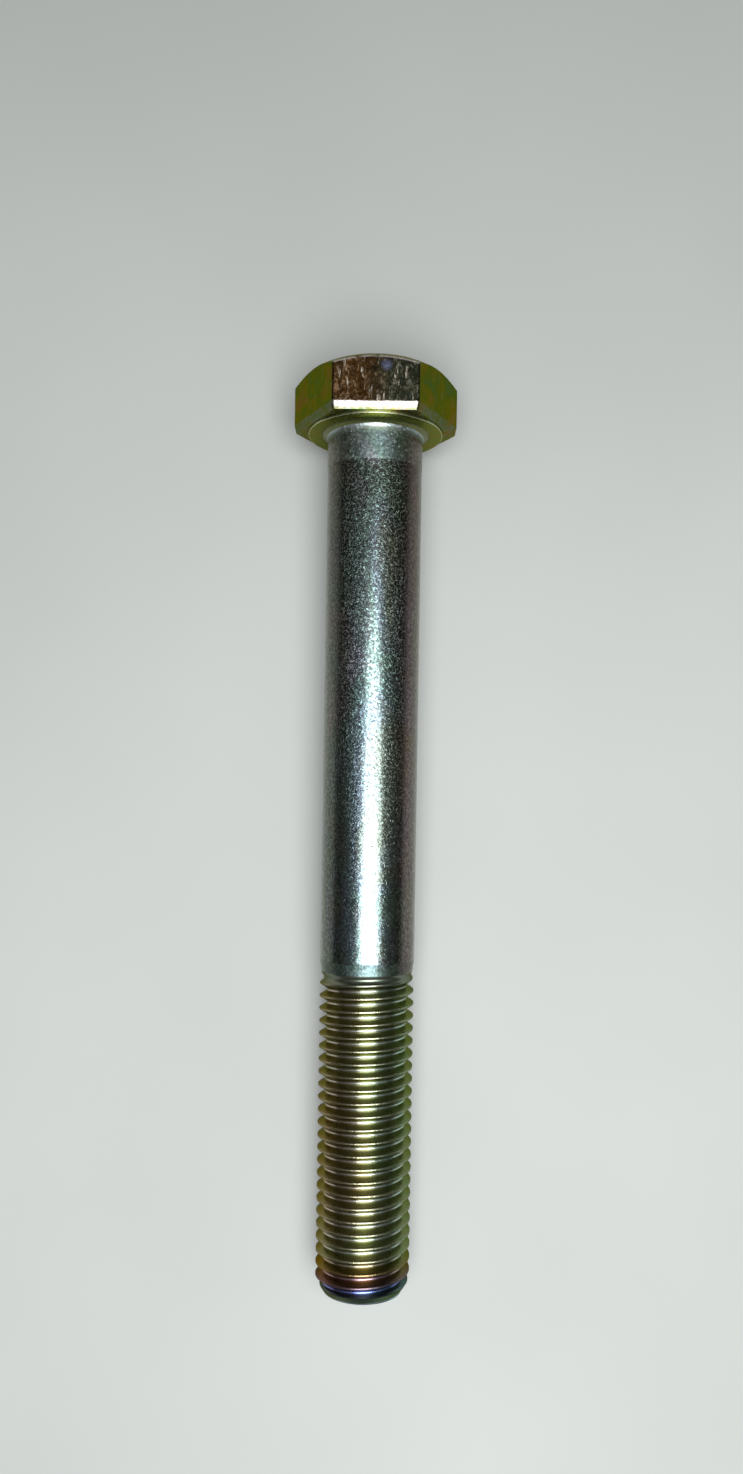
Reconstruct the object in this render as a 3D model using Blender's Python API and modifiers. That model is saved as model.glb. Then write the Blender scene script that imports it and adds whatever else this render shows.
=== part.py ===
"""Hex bolt, 3/4 in - 10 UNC by 6 3/4 in, partly threaded, with a washer face under its head.

The real bolt is one forging.  Its functional sections are separate solids here: the hexagon, the
washer face, the shank with its fillet, the shoulder, the rolled thread and the point.

Every section is modelled upright, on the Z axis with the head at the top, and hangs on an empty that
lays the bolt down along Y: the head points to +Y and one wrench flat faces +Z.  The origin is on the
axis, in the plane of the bearing face.  Units are metres.
"""
import math

import bmesh
import bpy
from mathutils import Matrix

INCH = 0.0254

# Head
ACROSS_FLATS = 0.0285
HEAD_HEIGHT = 0.0116              # bearing face to the top of the head
HEAD_CORNER_RADIUS = 0.0007
HEAD_CHAMFER_ANGLE = math.radians(30.0)
HEAD_TOP_DIAMETER = 0.0252        # the flat circle inside the chamfer

# Washer face
WASHER_FACE_DIAMETER = 0.0270
WASHER_FACE_THICKNESS = 0.0004
WASHER_FACE_EDGE = 0.00015

# Shank and shoulder
BODY_DIAMETER = 0.75 * INCH
FILLET_RADIUS = 0.0012
NECK_DIAMETER = BODY_DIAMETER + 2.0 * FILLET_RADIUS
SHOULDER_START = 0.1052           # measured from the bearing face, as are the lengths below
SHOULDER_END_DIAMETER = 0.0182

# Thread, 10 turns to the inch
PITCH = INCH / 10.0
MAJOR_DIAMETER = 0.0190
MINOR_DIAMETER = 0.0159
CREST_WIDTH = PITCH / 8.0
FLANK_ANGLE = math.radians(30.0)
THREAD_START = 0.1075
THREAD_PHASE = 0.00178            # on the +X side a groove's middle is this far over the origin,
                                  # give or take whole pitches

# Point
POINT_START = 0.1688
POINT_END_DIAMETER = 0.0158
BOLT_LENGTH = 6.75 * INCH

# Sections meet across a hairline, so that no two solids share any space.
HAIRLINE = 0.00002

ROUND_SEGMENTS = 48
THREAD_SEGMENTS = 24
CORNER_SEGMENTS = 3
FILLET_SEGMENTS = 6
SMOOTH_ANGLE = math.radians(25.0)
WELD = 0.00001

OBJECT_NAME = "hex_bolt"


def clear_scene():
    """Remove the objects of the open scene, whatever they are."""
    for old in list(bpy.data.objects):
        bpy.data.objects.remove(old, do_unlink=True)


def new_collection(name):
    """Link a new collection to the scene."""
    collection = bpy.data.collections.new(name)
    bpy.context.scene.collection.children.link(collection)
    return collection


def plated_steel(name, colour, roughness):
    """Bare plated metal: a Principled BSDF with a tint and a roughness."""
    material = bpy.data.materials.new(name)
    material.use_nodes = True
    shader = material.node_tree.nodes["Principled BSDF"]
    shader.inputs["Base Color"].default_value = (*colour, 1.0)
    shader.inputs["Roughness"].default_value = roughness
    shader.inputs["Metallic"].default_value = 1.0
    return material


def new_object(name, mesh, collection):
    """Wrap a mesh in an object and put it in a collection."""
    piece = bpy.data.objects.new(name, mesh)
    collection.objects.link(piece)
    return piece


def add_screw(piece, segments, turns=1, rise=0.0):
    """Sweep the object's profile round the Z axis, climbing by rise on each turn."""
    screw = piece.modifiers.new("turned", "SCREW")
    screw.axis = "Z"
    screw.steps = segments
    screw.render_steps = segments
    screw.iterations = turns
    screw.screw_offset = rise
    screw.use_merge_vertices = True
    screw.merge_threshold = WELD


def profile_object(name, points, collection, closed=False):
    """An outline of (radius, height) points in the XZ plane, open unless closed is set."""
    mesh = bpy.data.meshes.new(name)
    vertices = [(radius, 0.0, height) for radius, height in points]
    edges = [(i, i + 1) for i in range(len(points) - 1)]
    if closed:
        edges.append((len(points) - 1, 0))
    mesh.from_pydata(vertices, edges, [])
    return new_object(name, mesh, collection)


def turned(name, outline, collection):
    """A solid of revolution; its outline runs down the outer side, from the top to the bottom."""
    top = outline[0][1]
    bottom = outline[-1][1]
    piece = profile_object(name, [(0.0, top), *outline, (0.0, bottom)], collection)
    add_screw(piece, ROUND_SEGMENTS)
    return piece


def turned_ring(name, outline, collection):
    """A ring of revolution; its outline goes round, down the outer side and up the inner one."""
    piece = profile_object(name, outline, collection, closed=True)
    add_screw(piece, ROUND_SEGMENTS)
    return piece


def keep_inside(piece, envelope):
    """Trim a piece to what lies inside an envelope."""
    trim = piece.modifiers.new("trim", "BOOLEAN")
    trim.operation = "INTERSECT"
    trim.solver = "EXACT"
    trim.object = envelope


def hide_cutter(piece):
    """Mark an object that only shapes others."""
    piece.hide_render = True
    piece.display_type = "WIRE"


def chamfer_envelope(cutters):
    """The cone that takes the top corners off the hexagon."""
    top_radius = HEAD_TOP_DIAMETER / 2.0
    outer_radius = ACROSS_FLATS
    slope_drop = (outer_radius - top_radius) * math.tan(HEAD_CHAMFER_ANGLE)
    outline = [
        (top_radius, HEAD_HEIGHT),
        (outer_radius, HEAD_HEIGHT - slope_drop),
        (outer_radius, -HEAD_HEIGHT),
    ]
    envelope = turned("head_chamfer", outline, cutters)
    hide_cutter(envelope)
    return envelope


def hex_head(collection, cutters):
    """The hexagon, from the washer face up, with round corners and a chamfered top."""
    bottom = WASHER_FACE_THICKNESS + HAIRLINE
    spare = HEAD_HEIGHT               # the envelope trims the prism back to the head's height
    height = HEAD_HEIGHT - bottom + spare
    mesh = bpy.data.meshes.new("hex_head")
    bm = bmesh.new()
    bmesh.ops.create_cone(
        bm, cap_ends=True, segments=6, depth=height,
        radius1=ACROSS_FLATS / math.sqrt(3.0), radius2=ACROSS_FLATS / math.sqrt(3.0),
    )
    flats_to_front = Matrix.Rotation(math.radians(30.0), 3, "Z")
    bmesh.ops.rotate(bm, verts=bm.verts, matrix=flats_to_front)
    bmesh.ops.translate(bm, verts=bm.verts, vec=(0.0, 0.0, bottom + height / 2.0))
    upright = [e for e in bm.edges if abs(e.verts[0].co.z - e.verts[1].co.z) > height / 2.0]
    bmesh.ops.bevel(
        bm, geom=upright, affect="EDGES", segments=CORNER_SEGMENTS, profile=0.5,
        offset_type="OFFSET", offset=HEAD_CORNER_RADIUS * math.tan(math.radians(30.0)),
    )
    bm.to_mesh(mesh)
    bm.free()
    piece = new_object("hex_head", mesh, collection)
    keep_inside(piece, chamfer_envelope(cutters))
    return piece


def washer_face(collection):
    """The thin ring round the neck that bears on the joint, with its outer edge broken."""
    radius = WASHER_FACE_DIAMETER / 2.0
    hole_radius = NECK_DIAMETER / 2.0 + HAIRLINE
    outline = [
        (hole_radius, WASHER_FACE_THICKNESS),
        (radius, WASHER_FACE_THICKNESS),
        (radius, WASHER_FACE_EDGE),
        (radius - WASHER_FACE_EDGE, 0.0),
        (hole_radius, 0.0),
    ]
    return turned_ring("washer_face", outline, collection)


def shank(collection):
    """The plain body, which flares through a fillet into the neck inside the washer face."""
    radius = BODY_DIAMETER / 2.0
    neck_radius = NECK_DIAMETER / 2.0
    outline = [(neck_radius, WASHER_FACE_THICKNESS)]
    for step in range(FILLET_SEGMENTS + 1):
        angle = math.radians(90.0 + 90.0 * step / FILLET_SEGMENTS)
        outline.append((
            neck_radius + FILLET_RADIUS * math.cos(angle),
            -FILLET_RADIUS + FILLET_RADIUS * math.sin(angle),
        ))
    outline.append((radius, -SHOULDER_START))
    return turned("shank", outline, collection)


def thread_shoulder(collection):
    """The short cone where the body gives way to the thread."""
    outline = [
        (BODY_DIAMETER / 2.0, -SHOULDER_START - HAIRLINE),
        (SHOULDER_END_DIAMETER / 2.0, -THREAD_START),
    ]
    return turned("thread_shoulder", outline, collection)


def thread_form(cutters):
    """An endless-looking right-hand screw, longer than the threaded end, with both ends closed."""
    crest = MAJOR_DIAMETER / 2.0
    root = MINOR_DIAMETER / 2.0
    flank = (crest - root) * math.tan(FLANK_ANGLE)
    half_crest = CREST_WIDTH / 2.0
    spare_turns = 2
    turns = math.ceil((BOLT_LENGTH - THREAD_START) / PITCH) + 2 * spare_turns
    lowest_groove = THREAD_PHASE - PITCH * (math.ceil(BOLT_LENGTH / PITCH) + spare_turns)
    crest_height = lowest_groove + PITCH / 2.0
    outline = [
        (root, lowest_groove + PITCH),
        (root, crest_height + half_crest + flank),
        (crest, crest_height + half_crest),
        (crest, crest_height - half_crest),
        (root, crest_height - half_crest - flank),
        (root, lowest_groove),
    ]
    ribbon = profile_object("thread_ribbon", outline, cutters)
    add_screw(ribbon, THREAD_SEGMENTS, turns, PITCH)
    bpy.context.view_layer.update()
    mesh = bpy.data.meshes.new_from_object(
        ribbon.evaluated_get(bpy.context.evaluated_depsgraph_get())
    )
    bpy.data.objects.remove(ribbon, do_unlink=True)
    bm = bmesh.new()
    bm.from_mesh(mesh)
    bmesh.ops.remove_doubles(bm, verts=bm.verts, dist=WELD)
    rims = [e for e in bm.edges if e.is_boundary]
    bmesh.ops.holes_fill(bm, edges=rims, sides=0)
    bmesh.ops.triangulate(bm, faces=[f for f in bm.faces if len(f.verts) > 4])
    bmesh.ops.recalc_face_normals(bm, faces=bm.faces)
    if bm.calc_volume(signed=True) < 0.0:
        bmesh.ops.reverse_faces(bm, faces=bm.faces)
    bm.to_mesh(mesh)
    bm.free()
    screw = new_object("thread_form", mesh, cutters)
    hide_cutter(screw)
    return screw


def thread(collection, form):
    """The rolled thread, cut square at both ends."""
    clear_radius = MAJOR_DIAMETER
    outline = [
        (clear_radius, -THREAD_START - HAIRLINE),
        (clear_radius, -POINT_START),
    ]
    piece = turned("thread", outline, collection)
    keep_inside(piece, form)
    return piece


def point(collection, form):
    """The last turn of thread, cut back by the cone that lets a nut start."""
    outline = [
        (MAJOR_DIAMETER / 2.0 + HAIRLINE, -POINT_START - HAIRLINE),
        (POINT_END_DIAMETER / 2.0, -BOLT_LENGTH),
    ]
    piece = turned("point", outline, collection)
    keep_inside(piece, form)
    return piece


def finish(pieces, materials, carrier):
    """Give each section its material and its smooth sides, and hang it on the carrier."""
    for piece in pieces:
        piece.data.materials.append(materials[piece.name])
        piece.data.shade_smooth()
        piece.data.set_sharp_from_angle(angle=SMOOTH_ANGLE)
        piece.parent = carrier


def main():
    clear_scene()
    parts = new_collection(OBJECT_NAME)
    cutters = new_collection(OBJECT_NAME + "_cutters")
    olive = plated_steel("olive_chromate", (0.42, 0.40, 0.12), 0.34)
    silver = plated_steel("bright_zinc", (0.56, 0.62, 0.62), 0.26)
    gold = plated_steel("gold_chromate", (0.47, 0.42, 0.20), 0.30)
    carrier = new_object(OBJECT_NAME, None, parts)
    carrier.rotation_euler = (math.radians(-90.0), 0.0, 0.0)
    form = thread_form(cutters)
    pieces = [
        hex_head(parts, cutters),
        washer_face(parts),
        shank(parts),
        thread_shoulder(parts),
        thread(parts, form),
        point(parts, form),
    ]
    materials = {
        "hex_head": olive,
        "washer_face": olive,
        "shank": silver,
        "thread_shoulder": silver,
        "thread": gold,
        "point": gold,
    }
    finish(pieces, materials, carrier)
    for cutter in cutters.objects:
        cutter.parent = carrier
    bpy.context.view_layer.update()


main()
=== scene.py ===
"""Looks of a plated hex bolt that lies on a pale floor under one soft overhead light.

The bolt's axis is Y, its head points to +Y and one wrench flat faces +Z.  Lengths are in metres.
"""

import math

import bmesh
import bpy
import numpy as np
from mathutils import Euler, Matrix, Vector, noise


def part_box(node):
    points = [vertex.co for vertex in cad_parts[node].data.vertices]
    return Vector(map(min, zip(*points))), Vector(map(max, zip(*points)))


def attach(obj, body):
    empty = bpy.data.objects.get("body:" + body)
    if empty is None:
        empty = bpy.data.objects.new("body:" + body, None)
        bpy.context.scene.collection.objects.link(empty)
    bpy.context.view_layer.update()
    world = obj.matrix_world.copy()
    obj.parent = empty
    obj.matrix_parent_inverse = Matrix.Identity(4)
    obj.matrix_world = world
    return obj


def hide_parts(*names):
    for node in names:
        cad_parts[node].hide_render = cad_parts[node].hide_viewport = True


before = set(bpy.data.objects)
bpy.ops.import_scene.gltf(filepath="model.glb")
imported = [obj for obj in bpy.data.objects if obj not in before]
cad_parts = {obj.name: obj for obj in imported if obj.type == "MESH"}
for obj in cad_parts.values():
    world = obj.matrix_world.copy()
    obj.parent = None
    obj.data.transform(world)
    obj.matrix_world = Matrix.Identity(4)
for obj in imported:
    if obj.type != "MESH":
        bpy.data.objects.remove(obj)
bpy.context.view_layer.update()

MM = 0.001

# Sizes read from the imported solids
HEAD_LOW, HEAD_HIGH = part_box("hex_head")
RING_LOW, RING_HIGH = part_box("washer_face")
SHANK_LOW, SHANK_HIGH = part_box("shank")
SHOULDER_LOW, SHOULDER_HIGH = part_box("thread_shoulder")
THREAD_LOW, THREAD_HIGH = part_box("thread")
POINT_LOW, POINT_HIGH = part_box("point")

INSIDE = 0.015 * MM                 # how far the visible surfaces stay inside the solids
APOTHEM = HEAD_HIGH.z - INSIDE
HEAD_TOP = HEAD_HIGH.y
HEAD_BOTTOM = HEAD_LOW.y
RING_RADIUS = RING_HIGH.x - INSIDE
BODY_RADIUS = SHOULDER_HIGH.x - INSIDE
CREST_RADIUS = THREAD_HIGH.z - INSIDE
NECK_RADIUS = SHANK_HIGH.x - INSIDE

# Head
HALF_SIDE = math.radians(30.0)      # half of the turn that one flat takes up
CORNER_RADIUS = 0.7 * MM
CHAMFER_ANGLE = math.radians(30.0)
CHAMFER_SLOPE = math.tan(CHAMFER_ANGLE)
TOP_RADIUS = 12.6 * MM
EDGE_ROUND = 0.16 * MM
TRIM_BAND = 1.55 * MM               # the sheared band along the foot of each flat
TRIM_SLOPE = math.tan(math.radians(10.0))
TRIM_WOBBLE = 0.08 * MM             # how far the band's upper edge strays
TRIM_WAVES = 9.0                    # how quickly it strays round the head
FOOT_LEAD = 0.4 * INSIDE            # the band aims this far outside the foot's rounded edge
UNDERSIDE_RADIUS = 0.6 * TOP_RADIUS     # the fan that closes the underside begins here
DIP_DEPTH = 0.012 * MM              # mean depth of the dips that forging leaves in the sides
DIP_SIZE = 3.2 * MM
SIDES_FROM = 0.9 * APOTHEM          # points nearer the axis than this have no dips

# Washer face
RING_INNER_RADIUS = NECK_RADIUS + 0.03 * MM
RING_EDGE_ROUND = 0.12 * MM

# Neck, shank and shoulder
FILLET = 1.2 * MM
DIE_MARK = -7.2 * MM                # the forging die stopped here
DIE_STEP = 0.03 * MM
DIE_STEP_HALF = 0.2 * MM            # half of the length over which the step fades
DRAWN_RADIUS = BODY_RADIUS - DIE_STEP
SHANK_END_TAPER = 0.3 * MM
SHANK_END_RADIUS = DRAWN_RADIUS - 0.02 * MM
SHOULDER_HOLLOW = 0.06 * MM         # the middle lies half of this inside a straight cone
SHOULDER_END_RADIUS = 9.1 * MM

# Thread and point
PITCH = 2.54 * MM
ROOT_RADIUS = 7.90 * MM
ROOT_ROUND = 0.20 * MM              # how gently the flanks run into the root
CREST_WIDTH = 0.30 * MM             # between the flanks, before they round over
CREST_ROUND = 0.10 * MM
CREST_WANDER = 0.02 * MM            # rolled crests are not quite level
SEAM_DEPTH = 0.035 * MM             # the seam that rolling leaves along the crest
SEAM_WIDTH = 0.07 * MM
WANDER_SCALE = 2.3                  # how quickly the crest's height changes
WANDER_OFFSET = Vector((7.0, 0.0, 0.0))
LAP_SCALE = 3.1                     # how quickly the seam's depth changes
TURN_SCALE = 1.6                    # how much of both changes happens within a turn
FLANK_SLOPE = 1.0 / math.tan(math.radians(30.0))    # a 60 degree thread
GROOVE_PHASE = 1.78 * MM            # on the +X side a groove's middle is here, give or take pitches
RUN_OUT = 1.15 * PITCH              # the thread reaches its full depth over this length
POINT_START = -168.8 * MM
POINT_END_RADIUS = 7.9 * MM
POINT_ROUND = 0.08 * MM
POINT_SLOPE = (CREST_RADIUS + 0.05 * MM - POINT_END_RADIUS) / (POINT_START - POINT_LOW.y)
FLAT_END = 1e-9                     # rows this close to an end plane lie on it
WELD = 1e-7
NEEDLE = 1e-8

# Plating, with some highlights painted into it: each pair says where a change in the finish begins
# and where it is complete
OLIVE_NECK = (-0.60 * MM, -0.45 * MM)
# painted highlight: the fillet's film is made much brighter here
PAINTED_NECK_HIGHLIGHT = (-2.0 * MM, -1.2 * MM)
HELD_EDGE = (DIE_MARK + 0.25 * MM, DIE_MARK + 0.65 * MM)    # the matte stretch the die held
SHOULDER_EDGE = (SHOULDER_HIGH.y + 0.2 * MM, SHOULDER_HIGH.y - 0.2 * MM)
STAINED = (-38.0 * MM, 4.0 * MM)
PITTED = (-80.0 * MM, -25.0 * MM)
BARE_BAND = (HEAD_BOTTOM + TRIM_BAND + 0.62 * MM, HEAD_BOTTOM + TRIM_BAND + 0.42 * MM)
RAINBOW_TIP = (-161.0 * MM, -169.0 * MM)
GREY_START = (THREAD_HIGH.y - 4.0 * MM, THREAD_HIGH.y - 0.8 * MM)
UPPER_FLAT = (APOTHEM - 0.30 * MM, APOTHEM - 0.12 * MM)     # heights only the upper flat reaches
WORN_RIM_AND_HIGHLIGHT = (0.40 * MM, 0.15 * MM)                           # distances below the chamfer's cone
RING_RIM_HIGHLIGHT = (RING_RADIUS - 0.20 * MM, RING_RADIUS - 0.08 * MM)
CREST_EDGE = (CREST_RADIUS - 0.30 * MM, CREST_RADIUS - 0.08 * MM)
ROOT_EDGE = (ROOT_RADIUS + 1.15 * ROOT_ROUND, ROOT_RADIUS + 0.75 * ROOT_ROUND)
BLUE_SPOT = (2.0 * MM, 8.8 * MM, APOTHEM)                   # its centre
BLUE_SPOT_SIZE = 1.3 * MM

# Floor: it touches the lowest flat and the last crest
FLOOR_AT_HEAD = (HEAD_BOTTOM + TRIM_BAND, HEAD_LOW.z)       # (y, z)
FLOOR_AT_POINT = (POINT_START, -CREST_RADIUS)
FLOOR_SIZE = 3.0

# Light
LIGHT_HEIGHT = 0.42
LIGHT_X = (-0.140, 0.212)           # from one side of the panel to the other
LIGHT_Y = (-0.400, 0.034)
LIGHT_RADIANCE = 9.3                # watts per square metre and steradian
LIGHT_COLOUR = (0.98, 1.0, 0.99)
BACKDROP_COLOUR = (0.62, 0.63, 0.62)

# Camera
CAMERA_PLACE = Vector((1.328, -76.485, 223.062)) * MM
CAMERA_TILT = Euler((0.00095, 0.00402, 0.01606))
CAMERA_SHIFT_Y = 0.0532             # the picture's frame sits off the lens's axis
LENS_OVER_HEIGHT = 0.751            # focal length as a share of the image's height
SENSOR = 36.0


# ---------------------------------------------------------------- mesh building

def arc(centre, radius, start_deg, end_deg, steps):
    """Points of an arc in the (radius, y) plane."""
    points = []
    for i in range(steps + 1):
        angle = math.radians(start_deg + (end_deg - start_deg) * i / steps)
        points.append((centre[0] + radius * math.cos(angle), centre[1] + radius * math.sin(angle)))
    return points


def bend(before, corner, after, steps=5):
    """A soft corner: a quadratic curve from before to after that leans on corner."""
    points = []
    for i in range(steps + 1):
        t = i / steps
        weights = ((1 - t) ** 2, 2 * t * (1 - t), t ** 2)
        points.append(tuple(
            weights[0] * before[k] + weights[1] * corner[k] + weights[2] * after[k] for k in (0, 1)
        ))
    return points


def straight(start, end, steps):
    """Points along a line, without its first point."""
    return [
        tuple(start[k] + (end[k] - start[k]) * i / steps for k in (0, 1))
        for i in range(1, steps + 1)
    ]


def add_piece(name, mesh, sharp_deg):
    """A smooth-shaded object, its sharpest edges left crisp."""
    mesh.shade_smooth()
    mesh.set_sharp_from_angle(angle=math.radians(sharp_deg))
    piece = bpy.data.objects.new(name, mesh)
    bpy.context.scene.collection.objects.link(piece)
    return piece


def grid_object(name, rows, ring=False):
    """A closed body from rows of points that each go once round the axis.

    The rows run from the head's end to the point's end.  A ring's last row joins its first one;
    otherwise a fan closes each end.
    """
    count = len(rows)
    columns = len(rows[0])
    vertices = [tuple(p) for row in rows for p in row]
    faces = []
    for i in range(count if ring else count - 1):
        upper = i * columns
        lower = ((i + 1) % count) * columns
        for j in range(columns):
            k = (j + 1) % columns
            faces.append((upper + j, upper + k, lower + k, lower + j))
    if not ring:
        for row, flip in ((0, False), (count - 1, True)):
            centre = len(vertices)
            vertices.append(tuple(np.mean(np.array(rows[row]), axis=0)))
            for j in range(columns):
                k = (j + 1) % columns
                here = row * columns + j
                there = row * columns + k
                faces.append((centre, here, there) if flip else (centre, there, here))
    mesh = bpy.data.meshes.new(name)
    mesh.from_pydata(vertices, [], faces)
    mesh.validate()
    return add_piece(name, mesh, sharp_deg=40.0)


def around(radius, y, angle):
    """The point at an angle from +Z towards +X."""
    return (radius * math.sin(angle), y, radius * math.cos(angle))


def revolve(name, profile, segments=160, ring=False):
    """A body of revolution about Y from (radius, y) points."""
    rows = [
        [around(r, y, math.tau * j / segments) for j in range(segments)] for r, y in profile
    ]
    return grid_object(name, rows, ring)


# ---------------------------------------------------------------- the six sections

def hexagon_outline(flat_steps=16, corner_steps=7):
    """(angle, radius) pairs round a hexagon with round corners, one flat facing +Z."""
    inner = APOTHEM - CORNER_RADIUS
    half_flat = inner * math.tan(HALF_SIDE)
    points = []
    for side in range(6):
        turn = 2.0 * HALF_SIDE * side
        for i in range(flat_steps):
            x = half_flat * (2.0 * i / flat_steps - 1.0)
            points.append((turn + math.atan2(x, APOTHEM), math.hypot(x, APOTHEM)))
        for i in range(corner_steps):
            lean = 2.0 * HALF_SIDE * i / corner_steps
            x = half_flat + CORNER_RADIUS * math.sin(lean)
            z = inner + CORNER_RADIUS * math.cos(lean)
            points.append((turn + math.atan2(x, z), math.hypot(x, z)))
    return points


def trim_height(angle):
    """The upper edge of the sheared band at an angle."""
    wobble = noise.noise(Vector((TRIM_WAVES * math.sin(angle), TRIM_WAVES * math.cos(angle), 0.0)))
    return HEAD_BOTTOM + TRIM_BAND + TRIM_WOBBLE * wobble


def top_profile(radius):
    """The top face and its chamfer, out to a point just below the chamfer's edge."""
    chamfer_y = HEAD_TOP - (radius - TOP_RADIUS) * CHAMFER_SLOPE
    out = EDGE_ROUND * math.cos(CHAMFER_ANGLE)
    down = EDGE_ROUND * math.sin(CHAMFER_ANGLE)
    profile = [(TOP_RADIUS * share, HEAD_TOP) for share in (0.15, 0.4, 0.65, 0.85, 0.95)]
    profile += bend(
        (TOP_RADIUS - EDGE_ROUND, HEAD_TOP), (TOP_RADIUS, HEAD_TOP),
        (TOP_RADIUS + out, HEAD_TOP - down), 4,
    )
    chamfer_end = (radius - out, chamfer_y + down)
    profile += straight(profile[-1], chamfer_end, 6)[:-1]
    profile += bend(chamfer_end, (radius, chamfer_y), (radius, chamfer_y - EDGE_ROUND), 5)
    return profile


def head_profile(radius, angle):
    """One upright cut through the head at an angle, from the top's centre to the underside's."""
    trim_top = trim_height(angle)
    foot_radius = radius * (1.0 - (trim_top - HEAD_BOTTOM) * TRIM_SLOPE / APOTHEM)
    profile = top_profile(radius)
    profile += straight(profile[-1], (radius, trim_top + EDGE_ROUND), 22)[:-1]
    profile += bend(
        (radius, trim_top + EDGE_ROUND), (radius, trim_top),
        (radius - EDGE_ROUND * TRIM_SLOPE, trim_top - EDGE_ROUND), 4,
    )
    profile += straight(profile[-1], (foot_radius + FOOT_LEAD, HEAD_BOTTOM + EDGE_ROUND), 5)[:-1]
    profile += bend(
        (foot_radius, HEAD_BOTTOM + EDGE_ROUND), (foot_radius, HEAD_BOTTOM),
        (foot_radius - EDGE_ROUND, HEAD_BOTTOM), 4,
    )
    profile += straight(profile[-1], (UNDERSIDE_RADIUS, HEAD_BOTTOM), 6)
    return profile


def make_head():
    """The hexagon, its flats very slightly uneven as forged and trimmed steel is."""
    columns = []
    for angle, radius in hexagon_outline():
        column = []
        for r, y in head_profile(radius, angle):
            dip = 0.0
            if r > SIDES_FROM:
                dip = DIP_DEPTH * (1.0 + noise.noise(Vector(around(r, y, angle)) / DIP_SIZE))
            column.append(around(r - dip, y, angle))
        columns.append(column)
    rows = [[column[i] for column in columns] for i in range(len(columns[0]))]
    return grid_object("head_hexagon", rows)


def make_washer_face():
    """The bearing ring, with a soft outer edge."""
    top = RING_HIGH.y
    profile = [(RING_INNER_RADIUS, top)]
    profile += straight((RING_INNER_RADIUS, top), (RING_RADIUS, top), 4)
    profile += bend(
        (RING_RADIUS, RING_EDGE_ROUND), (RING_RADIUS, RING_LOW.y),
        (RING_RADIUS - RING_EDGE_ROUND, RING_LOW.y), 5,
    )
    profile += straight(profile[-1], (RING_INNER_RADIUS, RING_LOW.y), 8)
    return revolve("bearing_ring", profile, ring=True)


def make_shank():
    """Neck, fillet, the short stretch held by the die, and the drawn body."""
    end = SHANK_LOW.y
    profile = [(NECK_RADIUS, SHANK_HIGH.y)]
    profile += arc((BODY_RADIUS + FILLET, -FILLET), FILLET, 90.0, 180.0, 14)
    profile += straight(profile[-1], (BODY_RADIUS, DIE_MARK + DIE_STEP_HALF), 8)
    profile += straight(profile[-1], (DRAWN_RADIUS, DIE_MARK - DIE_STEP_HALF), 3)
    profile += straight(profile[-1], (DRAWN_RADIUS, end + SHANK_END_TAPER), 60)
    profile += straight(profile[-1], (SHANK_END_RADIUS, end), 3)
    return revolve("plain_shank", profile)


def make_shoulder():
    """The cone between the body and the threaded end, slightly hollow."""
    start = (SHANK_END_RADIUS, SHOULDER_HIGH.y)
    end = (SHOULDER_END_RADIUS, SHOULDER_LOW.y)
    hollow = (0.5 * (start[0] + end[0]) - SHOULDER_HOLLOW, 0.5 * (start[1] + end[1]))
    return revolve("shoulder_cone", bend(start, hollow, end, 10))


def soft_max(a, b, width):
    """The larger of two lengths, with a round corner of about this width."""
    return 0.5 * (a + b + math.sqrt((a - b) ** 2 + width ** 2))


def soft_min(a, b, width):
    """The smaller of two lengths, with a round corner of about this width."""
    return 0.5 * (a + b - math.sqrt((a - b) ** 2 + width ** 2))


def thread_radius(from_groove, y, angle):
    """The rolled thread's radius at a distance from the groove's middle along the axis."""
    from_crest = PITCH / 2.0 - abs(from_groove)
    along = Vector((TURN_SCALE * math.sin(angle), TURN_SCALE * math.cos(angle), y / PITCH))
    lap = noise.noise(along * LAP_SCALE)
    wander = noise.noise(along * WANDER_SCALE + WANDER_OFFSET)
    crest = CREST_RADIUS - CREST_WANDER * (1.0 + wander)
    flank = CREST_RADIUS - (from_crest - CREST_WIDTH / 2.0) * FLANK_SLOPE
    radius = soft_min(crest, flank, CREST_ROUND)
    radius = soft_max(radius, ROOT_RADIUS, ROOT_ROUND)
    radius -= SEAM_DEPTH * (1.0 + lap) * math.exp(-((from_crest / SEAM_WIDTH) ** 2))
    run_in = min(max((THREAD_HIGH.y - y) / RUN_OUT, 0.0), 1.0)
    radius = SHOULDER_END_RADIUS + (radius - SHOULDER_END_RADIUS) * run_in
    cone = POINT_END_RADIUS + (y - POINT_LOW.y) * POINT_SLOPE
    return soft_min(radius, cone, POINT_ROUND)


def profile_steps():
    """Distances from a groove's middle that sample one pitch, from crest to crest."""
    from_groove = [0.06, 0.13, 0.21, 0.30, 0.42, 0.60, 0.80, 0.96, 1.05, 1.12, 1.17, 1.21]
    below = [-x * MM for x in reversed(from_groove)]
    above = [x * MM for x in from_groove]
    return [-PITCH / 2.0] + below + [0.0] + above


def thread_rows(top, bottom, segments):
    """Rows of points that climb a pitch in one turn, and how many rows there are to a pitch."""
    steps = profile_steps()
    first_groove = math.ceil((top - GROOVE_PHASE) / PITCH) + 2
    pitches = math.ceil((top - bottom) / PITCH) + 5
    vertices = []
    for turn in range(pitches):
        groove = GROOVE_PHASE + PITCH * (first_groove - turn)
        for step in reversed(steps):
            for j in range(segments):
                angle = math.tau * j / segments
                climb = PITCH * (angle - math.pi / 2.0) / math.tau
                y = min(max(groove + step + climb, bottom), top)
                from_groove = (y - groove - climb + PITCH / 2.0) % PITCH - PITCH / 2.0
                vertices.append(around(thread_radius(from_groove, y, angle), y, angle))
    return vertices, len(steps)


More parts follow.
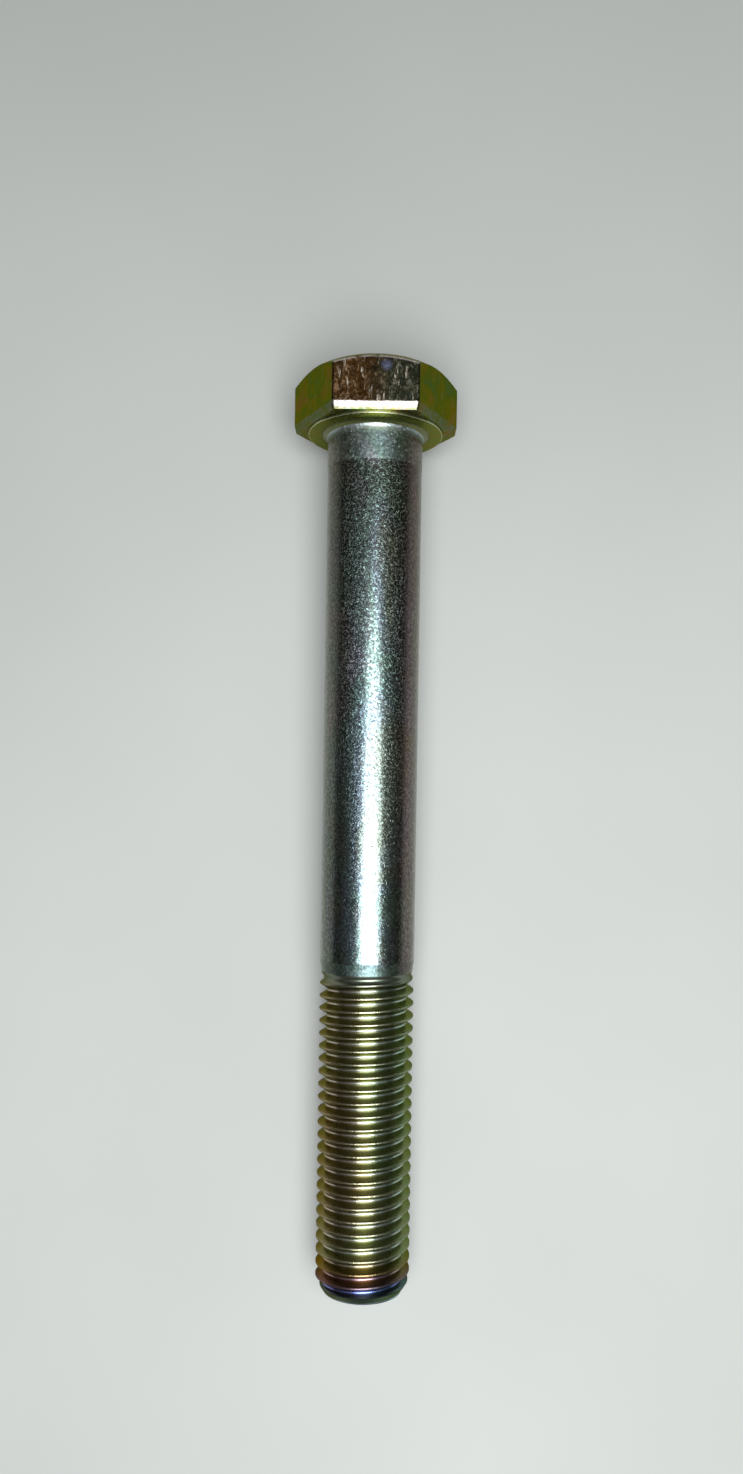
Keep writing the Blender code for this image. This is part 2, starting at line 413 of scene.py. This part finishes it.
def make_thread_piece(name, top, bottom, segments=96):
    """A stretch of right-hand thread between two heights, closed flat at both."""
    vertices, per_pitch = thread_rows(top, bottom, segments)
    rows = len(vertices) // segments
    faces = []
    for i in range(rows - per_pitch - 1):
        for j in range(segments):
            upper = i * segments + j
            lower = upper + segments
            if j < segments - 1:
                faces.append((upper, upper + 1, lower + 1, lower))
            elif i >= per_pitch:                   # one turn on, the helix is a pitch higher
                next_upper = (i - per_pitch) * segments
                faces.append((upper, next_upper, next_upper + segments, lower))
    return clean_thread(name, vertices, faces, top, bottom)


def clean_thread(name, vertices, faces, top, bottom):
    """Drop the rows squeezed flat onto the end planes, weld the rest and close both ends."""
    bm = bmesh.new()
    made = [bm.verts.new(v) for v in vertices]
    for face in faces:
        heights = [vertices[v][1] for v in face]
        if min(heights) <= top - FLAT_END and max(heights) >= bottom + FLAT_END:
            bm.faces.new([made[v] for v in face])
    bmesh.ops.delete(bm, geom=[v for v in bm.verts if not v.link_faces], context="VERTS")
    bmesh.ops.remove_doubles(bm, verts=bm.verts, dist=WELD)
    bmesh.ops.dissolve_degenerate(bm, dist=NEEDLE, edges=bm.edges)
    bmesh.ops.holes_fill(bm, edges=[e for e in bm.edges if e.is_boundary], sides=0)
    bmesh.ops.recalc_face_normals(bm, faces=bm.faces)
    if bm.calc_volume(signed=True) < 0.0:
        bmesh.ops.reverse_faces(bm, faces=bm.faces)
    mesh = bpy.data.meshes.new(name)
    bm.to_mesh(mesh)
    bm.free()
    return add_piece(name, mesh, sharp_deg=50.0)


# ---------------------------------------------------------------- materials

def set_stops(ramp, stops):
    """Give a colour ramp its (position, colour) stops."""
    while len(ramp.elements) < len(stops):
        ramp.elements.new(1.0)
    for element, (position, colour) in zip(ramp.elements, stops):
        element.position = position
        element.color = (*colour, 1.0)


class Shader:
    """A short way to write a material's node tree."""

    def __init__(self, name):
        self.material = bpy.data.materials.new(name)
        self.material.use_nodes = True
        self.tree = self.material.node_tree
        self.surface = self.tree.nodes["Principled BSDF"]
        self.place = self.add("ShaderNodeTexCoord").outputs["Object"]

    def add(self, kind, inputs=None, **settings):
        """Add a node, set its properties, and fill or link its inputs."""
        made = self.tree.nodes.new(kind)
        for key, value in settings.items():
            setattr(made, key, value)
        for key, value in (inputs or {}).items():
            self.set(made.inputs[key], value)
        return made

    def set(self, socket, value):
        """Link a socket to another one, or give it a fixed value."""
        if isinstance(value, bpy.types.NodeSocket):
            self.tree.links.new(value, socket)
        else:
            socket.default_value = value

    def noise(self, scale, detail=3.0, rough=0.55, warp=0.0, place=None):
        """Noise from 0 to 1 with features of about 1 / scale metres."""
        made = self.add(
            "ShaderNodeTexNoise",
            {"Vector": place or self.place, "Scale": scale, "Detail": detail,
             "Roughness": rough, "Distortion": warp},
        )
        return made.outputs["Fac"]

    def ramp(self, fac, stops):
        """A colour ramp with (position, colour) stops."""
        made = self.add("ShaderNodeValToRGB", {"Fac": fac})
        set_stops(made.color_ramp, stops)
        return made.outputs["Color"]

    def level(self, fac, low, high, out_low=0.0, out_high=1.0):
        """Map a value from one range to another, clamped."""
        made = self.add(
            "ShaderNodeMapRange",
            {"Value": fac, "From Min": low, "From Max": high,
             "To Min": out_low, "To Max": out_high},
        )
        return made.outputs["Result"]

    def math(self, operation, a, b=0.0):
        """A Math node."""
        made = self.add("ShaderNodeMath", operation=operation)
        self.set(made.inputs[0], a)
        self.set(made.inputs[1], b)
        return made.outputs["Value"]

    def mix(self, fac, a, b, blend="MIX"):
        """Go from colour a to colour b."""
        made = self.add("ShaderNodeMix", data_type="RGBA", blend_type=blend)
        self.set(made.inputs[0], fac)
        self.set(made.inputs[6], a if isinstance(a, bpy.types.NodeSocket) else (*a, 1.0))
        self.set(made.inputs[7], b if isinstance(b, bpy.types.NodeSocket) else (*b, 1.0))
        return made.outputs[2]

    def times(self, fac, colour, factor):
        """Go from a colour to the same colour times a factor."""
        return self.mix(fac, colour, self.mix(1.0, colour, factor, "MULTIPLY"))

    def axis(self, name):
        """One coordinate of the place, in metres."""
        split = self.add("ShaderNodeSeparateXYZ", {"Vector": self.place})
        return split.outputs[name]

    def radius(self):
        """The distance from the bolt's axis, in metres."""
        flat = self.add("ShaderNodeVectorMath", {0: self.place, 1: (1.0, 0.0, 1.0)},
                        operation="MULTIPLY")
        length = self.add("ShaderNodeVectorMath", {0: flat.outputs["Vector"]}, operation="LENGTH")
        return length.outputs["Value"]

    def spot(self, centre, size):
        """A soft round stain about a point."""
        away = self.add("ShaderNodeVectorMath", {0: self.place, 1: centre}, operation="DISTANCE")
        return self.level(away.outputs["Value"], size, 0.2 * size)

    def stretched(self, scale):
        """The place with each axis scaled."""
        made = self.add("ShaderNodeMapping", {"Vector": self.place, "Scale": scale})
        return made.outputs["Vector"]

    def bump(self, height, depth, under=None):
        """A bump of a given depth in metres, on top of another one."""
        made = self.add("ShaderNodeBump", {"Height": height, "Distance": depth, "Strength": 1.0})
        if under is not None:
            self.set(made.inputs["Normal"], under)
        return made.outputs["Normal"]

    def metal(self, colour, roughness, normal, edge=(1.0, 1.0, 1.0)):
        """Finish as metal; edge tints what it reflects at grazing angles."""
        self.set(self.surface.inputs["Base Color"], colour)
        self.surface.inputs["Specular Tint"].default_value = (*edge, 1.0)
        self.set(self.surface.inputs["Roughness"], roughness)
        self.surface.inputs["Metallic"].default_value = 1.0
        self.set(self.surface.inputs["Normal"], normal)
        return self.material


def zinc_tone_and_painted_reflection(s, drift):
    """Painted reflections in the film's colour: bluish on top, green and pink at the sides, over
    slow patches of real tone.
    """
    across = s.math("ADD", s.axis("X"), s.math("MULTIPLY", drift, 3.0 * MM))
    # Painted reflection: the colour is set by the place across the shank, bluish on top and pink and
    # green at the sides.
    film = s.ramp(s.level(across, -8.0 * MM, 11.0 * MM), [
        (0.00, (0.145, 0.140, 0.110)),
        (0.14, (0.130, 0.125, 0.112)),
        (0.34, (0.160, 0.185, 0.195)),
        (0.55, (0.170, 0.205, 0.210)),
        (0.76, (0.150, 0.165, 0.142)),
        (0.88, (0.160, 0.118, 0.110)),
        (1.00, (0.140, 0.116, 0.084)),
    ])
    cast = s.ramp(drift, [
        (0.32, (1.12, 1.00, 1.08)),
        (0.46, (0.94, 1.10, 1.02)),
        (0.58, (1.00, 1.04, 1.20)),
        (0.70, (1.06, 1.06, 0.98)),
    ])
    return s.mix(1.0, film, cast, "MULTIPLY")


def zinc_shank():
    """Bluish zinc over drawn steel, grainy and pitted, more so and darker towards the head, with
    painted reflection colours across it and a painted highlight on the fillet.
    """
    s = Shader("bright_zinc_shank")
    along = s.axis("Y")
    drift = s.noise(55.0, 2.0, 0.5, 0.6, s.stretched((1.6, 0.8, 1.6)))
    grain = s.noise(2100.0, 3.0, 0.62, 0.3, s.stretched((1.1, 0.8, 1.1)))
    speck = s.ramp(grain, [
        (0.36, (0.50, 0.50, 0.48)),
        (0.50, (0.95, 0.97, 0.97)),
        (0.66, (1.75, 1.95, 2.00)),
    ])
    uneven = s.math("ADD", along, s.math("MULTIPLY", drift, 30.0 * MM))
    ragged = s.math("ADD", along, s.math("MULTIPLY", s.noise(1400.0, 4.0, 0.7), 0.9 * MM))
    held = s.level(ragged, *HELD_EDGE)
    shoulder = s.level(along, *SHOULDER_EDGE)
    tint = s.mix(0.85, zinc_tone_and_painted_reflection(s, drift), speck, "MULTIPLY")
    tint = s.times(s.level(uneven, *STAINED), tint, (0.80, 0.72, 0.66))
    tint = s.times(held, tint, (1.45, 1.60, 1.65))
    tint = s.times(shoulder, tint, (0.72, 0.78, 0.72))
    # Painted highlight: the fillet next to the ring gets a much brighter film.
    tint = s.mix(s.level(along, *PAINTED_NECK_HIGHLIGHT), tint, (0.36, 0.42, 0.43))
    tint = s.mix(s.level(along, *OLIVE_NECK), tint, (0.150, 0.165, 0.060))
    matte = s.math("MULTIPLY", s.math("MAXIMUM", held, shoulder), 0.16)
    roughness = s.level(s.noise(420.0, 3.0, 0.6), 0.3, 0.7, 0.15, 0.23)
    roughness = s.math("ADD", roughness, matte)
    pits = s.level(s.noise(2700.0, 3.0, 0.66, 0.5), 0.54, 0.68)
    pits = s.math("MULTIPLY", pits, s.level(uneven, *PITTED, 0.25, 1.0))
    normal = s.bump(pits, 0.034 * MM)
    normal = s.bump(grain, 0.027 * MM, normal)
    normal = s.bump(s.noise(6500.0, 2.0, 0.6), 0.010 * MM, normal)
    return s.metal(tint, roughness, normal)


def olive_film(s):
    """Olive chromate in green, yellow and rusty patches."""
    return s.ramp(s.noise(210.0, 3.0, 0.55, 0.8), [
        (0.30, (0.085, 0.150, 0.060)),
        (0.42, (0.115, 0.145, 0.032)),
        (0.56, (0.165, 0.150, 0.030)),
        (0.70, (0.215, 0.120, 0.055)),
    ])


def browned_film(s):
    """Browned chromate: rusty towards -X, grey towards +X, with one bluish spot."""
    mottle = s.noise(950.0, 5.0, 0.74, 0.6, s.stretched((1.2, 0.8, 1.0)))
    rusty = s.ramp(mottle, [
        (0.40, (0.012, 0.011, 0.006)),
        (0.48, (0.130, 0.056, 0.013)),
        (0.53, (0.020, 0.017, 0.009)),
        (0.60, (0.300, 0.175, 0.095)),
    ])
    grey = s.ramp(mottle, [
        (0.38, (0.050, 0.062, 0.045)),
        (0.48, (0.018, 0.020, 0.012)),
        (0.56, (0.090, 0.085, 0.050)),
        (0.64, (0.160, 0.165, 0.140)),
    ])
    film = s.mix(s.level(s.axis("X"), -2.5 * MM, 3.0 * MM), rusty, grey)
    return s.mix(s.spot(BLUE_SPOT, BLUE_SPOT_SIZE), film, (0.13, 0.15, 0.25))


def trim_cover(s, upper, streaks):
    """Where the sheared band shows unplated steel: nearly all of it on the upper flat, where it
    carries a painted highlight, in patches elsewhere.
    """
    ragged = s.math("ADD", s.axis("Y"), s.math("MULTIPLY", streaks, 0.9 * MM))
    scuffed = s.level(s.noise(900.0, 4.0, 0.7, 1.0), 0.44, 0.58, 0.10, 0.80)
    coverage = s.math("MAXIMUM", s.math("MULTIPLY", upper, 0.95), scuffed)
    return s.math("MULTIPLY", s.level(ragged, *BARE_BAND), coverage)


def rim_wear_and_highlight(s, upper):
    """Where the upper flat is rubbed along the chamfer's arc, and painted pale there as a highlight.
    """
    cone = HEAD_TOP + TOP_RADIUS * CHAMFER_SLOPE
    reach = s.math("ADD", s.axis("Y"), s.math("MULTIPLY", s.radius(), CHAMFER_SLOPE))
    worn_and_highlight = s.level(reach, cone - WORN_RIM_AND_HIGHLIGHT[0], cone - WORN_RIM_AND_HIGHLIGHT[1])
    broken = s.level(s.noise(700.0), 0.32, 0.48)
    return s.math("MULTIPLY", s.math("MULTIPLY", worn_and_highlight, s.math("MULTIPLY", upper, broken)), 0.9)


def chromate_head():
    """Olive chromate, browned on the upper flat, with an unplated sheared band and a rubbed edge;
    painted glints on the upper flat, where the band and edge are also painted pale as highlights.
    """
    s = Shader("olive_chromate_head")
    upper = s.level(s.axis("Z"), *UPPER_FLAT)
    streaks = s.noise(1500.0, 3.0, 0.7, 0.2, s.stretched((1.0, 0.16, 1.0)))
    # Painted glints: pale streaks on the upper flat only, where it faces the light.
    painted_glint = s.math("MULTIPLY", s.level(streaks, 0.58, 0.66), s.level(s.noise(520.0), 0.42, 0.56))
    painted_glint = s.math("MULTIPLY", painted_glint, s.level(upper, 0.0, 1.0, 0.10, 0.95))
    # Unplated steel of the sheared band, painted far paler on the upper flat as its highlight.
    bare_and_highlight = s.mix(upper, (0.170, 0.190, 0.165), (0.52, 0.46, 0.44))
    colour = s.mix(upper, olive_film(s), browned_film(s))
    colour = s.mix(painted_glint, colour, (0.80, 0.70, 0.58))
    colour = s.mix(trim_cover(s, upper, streaks), colour, bare_and_highlight)
    # Rubbed edge, painted near white as the chamfer rim's highlight.
    colour = s.mix(rim_wear_and_highlight(s, upper), colour, (0.95, 0.85, 0.80))
    roughness = s.level(s.noise(520.0, 3.0, 0.6), 0.3, 0.7, 0.22, 0.38)
    normal = s.bump(s.noise(1500.0, 4.0, 0.65), 0.05 * MM)
    normal = s.bump(streaks, 0.03 * MM, normal)
    return s.metal(colour, roughness, normal, (0.55, 0.55, 0.30))


def chromate_ring():
    """The washer face: olive chromate over a faced ring, its rim painted pale as a highlight."""
    s = Shader("olive_chromate_ring")
    colour = s.ramp(s.noise(180.0, 3.0, 0.55, 0.8), [
        (0.32, (0.150, 0.185, 0.055)),
        (0.52, (0.175, 0.190, 0.055)),
        (0.70, (0.210, 0.170, 0.055)),
    ])
    # Painted highlight: a pale band along the ring's outer rim.
    colour = s.mix(s.level(s.radius(), *RING_RIM_HIGHLIGHT), colour, (0.50, 0.52, 0.34))
    roughness = s.level(s.noise(700.0, 3.0, 0.6), 0.3, 0.7, 0.22, 0.34)
    normal = s.bump(s.noise(1800.0, 3.0, 0.6), 0.015 * MM)
    return s.metal(colour, roughness, normal, (0.7, 0.7, 0.45))


def golden_film(s, drift):
    """Golden olive, turning brown, purple and blue at the last turns."""
    olive = s.ramp(drift, [
        (0.30, (0.285, 0.255, 0.175)),
        (0.50, (0.300, 0.288, 0.210)),
        (0.70, (0.270, 0.292, 0.198)),
    ])
    uneven = s.math("ADD", s.axis("Y"), s.math("MULTIPLY", drift, 3.0 * MM))
    tip = s.level(uneven, *RAINBOW_TIP)
    rainbow = s.ramp(tip, [
        (0.00, (0.230, 0.215, 0.130)),
        (0.35, (0.240, 0.170, 0.085)),
        (0.60, (0.210, 0.130, 0.150)),
        (0.80, (0.110, 0.130, 0.240)),
        (1.00, (0.160, 0.200, 0.190)),
    ])
    return s.mix(s.level(tip, 0.0, 0.25), olive, rainbow)


def chromate_thread():
    """Golden chromate, greyer at its start, with painted light: browner to -X and greener to +X as
    painted reflections, palest in the roots as a painted highlight, darker in the flanks as partly
    painted shade.
    """
    s = Shader("gold_chromate_thread")
    drift = s.noise(120.0, 3.0, 0.5, 0.5, s.stretched((1.0, 0.7, 1.0)))
    crest = s.level(s.radius(), *CREST_EDGE)
    root = s.level(s.radius(), *ROOT_EDGE)
    flank = s.math("SUBTRACT", 1.0, s.math("MAXIMUM", crest, root))
    # Painted reflection tints: browner on the -X side, greener on the +X side.
    side = s.ramp(s.level(s.axis("X"), -8.0 * MM, 8.0 * MM), [
        (0.0, (1.10, 0.93, 0.80)),
        (0.5, (1.00, 1.00, 1.00)),
        (1.0, (0.84, 1.03, 0.92)),
    ])
    colour = s.mix(1.0, golden_film(s, drift), side, "MULTIPLY")
    # Partly painted shade: the flanks are darker and more olive to stand in for the shadowed floor
    # they reflect, and partly the film's own tone.
    colour = s.times(flank, colour, (0.80, 0.82, 0.62))
    # Painted highlight: the roots get a much paler film so they shine white.
    colour = s.times(root, colour, (1.70, 1.80, 2.50))
    start = s.level(s.axis("Y"), *GREY_START, 0.0, 0.85)
    colour = s.mix(start, colour, (0.185, 0.215, 0.190))
    roughness = s.level(s.noise(900.0, 3.0, 0.6), 0.3, 0.7, 0.26, 0.33)
    roughness = s.math("SUBTRACT", roughness, s.math("MULTIPLY", root, 0.03))
    lap = s.math("MULTIPLY", crest, s.noise(1300.0, 2.0, 0.6))
    normal = s.bump(s.noise(2400.0, 3.0, 0.6), 0.006 * MM)
    normal = s.bump(lap, 0.07 * MM, normal)
    return s.metal(colour, roughness, normal, (0.38, 0.38, 0.24))


def dress(piece, material, slot, *nodes):
    """Give a piece its material and its place on the bolt; the slot is not used."""
    piece.data.materials.append(material)
    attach(piece, "root")
    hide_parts(*nodes)


# ---------------------------------------------------------------- floor, light and camera

def make_floor():
    """A wide pale floor that the bolt rests on."""
    run = FLOOR_AT_HEAD[0] - FLOOR_AT_POINT[0]
    rise = FLOOR_AT_HEAD[1] - FLOOR_AT_POINT[1]
    tilt = math.atan2(rise, run)
    bpy.ops.mesh.primitive_plane_add(size=FLOOR_SIZE)
    floor = bpy.context.object
    floor.name = "floor"
    floor.rotation_euler = (tilt, 0.0, 0.0)
    floor.location = (0.0, *FLOOR_AT_HEAD)
    s = Shader("pale_floor")
    shade = s.ramp(s.noise(9.0, 3.0, 0.5), [
        (0.3, (0.385, 0.396, 0.389)),
        (0.7, (0.420, 0.432, 0.424)),
    ])
    s.set(s.surface.inputs["Base Color"], shade)
    s.surface.inputs["Roughness"].default_value = 0.9
    floor.data.materials.append(s.material)


def make_light():
    """One soft oval panel overhead, set towards the threaded end."""
    width = LIGHT_X[1] - LIGHT_X[0]
    depth = LIGHT_Y[1] - LIGHT_Y[0]
    data = bpy.data.lights.new("overhead_panel", "AREA")
    data.shape = "ELLIPSE"
    data.size = width
    data.size_y = depth
    data.energy = LIGHT_RADIANCE * math.pi * (math.pi / 4.0 * width * depth)
    data.color = LIGHT_COLOUR
    panel = bpy.data.objects.new("overhead_panel", data)
    panel.location = (sum(LIGHT_X) / 2.0, sum(LIGHT_Y) / 2.0, LIGHT_HEIGHT)
    panel.visible_camera = False
    bpy.context.scene.collection.objects.link(panel)


def make_room():
    """A dim room round the bolt; the camera itself sees a plain pale backdrop."""
    world = bpy.data.worlds.new("dim_room")
    bpy.context.scene.world = world
    world.use_nodes = True
    tree = world.node_tree
    tree.nodes.clear()
    place = tree.nodes.new("ShaderNodeTexCoord")
    split = tree.nodes.new("ShaderNodeSeparateXYZ")
    tree.links.new(place.outputs["Generated"], split.inputs["Vector"])
    ramp = tree.nodes.new("ShaderNodeValToRGB")
    set_stops(ramp.color_ramp, [
        (0.00, (0.046, 0.046, 0.038)),
        (0.35, (0.080, 0.082, 0.070)),
        (0.75, (0.195, 0.207, 0.202)),
        (1.00, (0.300, 0.300, 0.290)),
    ])
    tree.links.new(split.outputs["Z"], ramp.inputs["Fac"])
    room = tree.nodes.new("ShaderNodeBackground")
    tree.links.new(ramp.outputs["Color"], room.inputs["Color"])
    backdrop = tree.nodes.new("ShaderNodeBackground")
    backdrop.inputs["Color"].default_value = (*BACKDROP_COLOUR, 1.0)
    path = tree.nodes.new("ShaderNodeLightPath")
    choose = tree.nodes.new("ShaderNodeMixShader")
    tree.links.new(path.outputs["Is Camera Ray"], choose.inputs["Fac"])
    tree.links.new(room.outputs["Background"], choose.inputs[1])
    tree.links.new(backdrop.outputs["Background"], choose.inputs[2])
    output = tree.nodes.new("ShaderNodeOutputWorld")
    tree.links.new(choose.outputs["Shader"], output.inputs["Surface"])


def make_camera():
    """The viewpoint: almost straight above the bolt's middle, and close to it."""
    data = bpy.data.cameras.new("viewpoint")
    data.sensor_width = SENSOR
    data.lens = SENSOR * LENS_OVER_HEIGHT
    data.shift_y = CAMERA_SHIFT_Y
    data.clip_start = 0.005
    data.clip_end = 20.0
    camera = bpy.data.objects.new("viewpoint", data)
    camera.matrix_world = Matrix.Translation(CAMERA_PLACE) @ CAMERA_TILT.to_matrix().to_4x4()
    bpy.context.scene.collection.objects.link(camera)
    bpy.context.scene.camera = camera


def main():
    bpy.context.scene.view_settings.view_transform = "Standard"
    dress(make_head(), chromate_head(), "olive_chromate", "hex_head")
    dress(make_washer_face(), chromate_ring(), "olive_chromate", "washer_face")
    zinc = zinc_shank()
    dress(make_shank(), zinc, "bright_zinc", "shank")
    dress(make_shoulder(), zinc, "bright_zinc", "thread_shoulder")
    gold = chromate_thread()
    thread = make_thread_piece("rolled_thread", THREAD_HIGH.y, THREAD_LOW.y)
    dress(thread, gold, "gold_chromate", "thread")
    point = make_thread_piece("chamfered_point", POINT_HIGH.y, POINT_LOW.y)
    dress(point, gold, "gold_chromate", "point")
    make_floor()
    make_light()
    make_room()
    make_camera()


main()
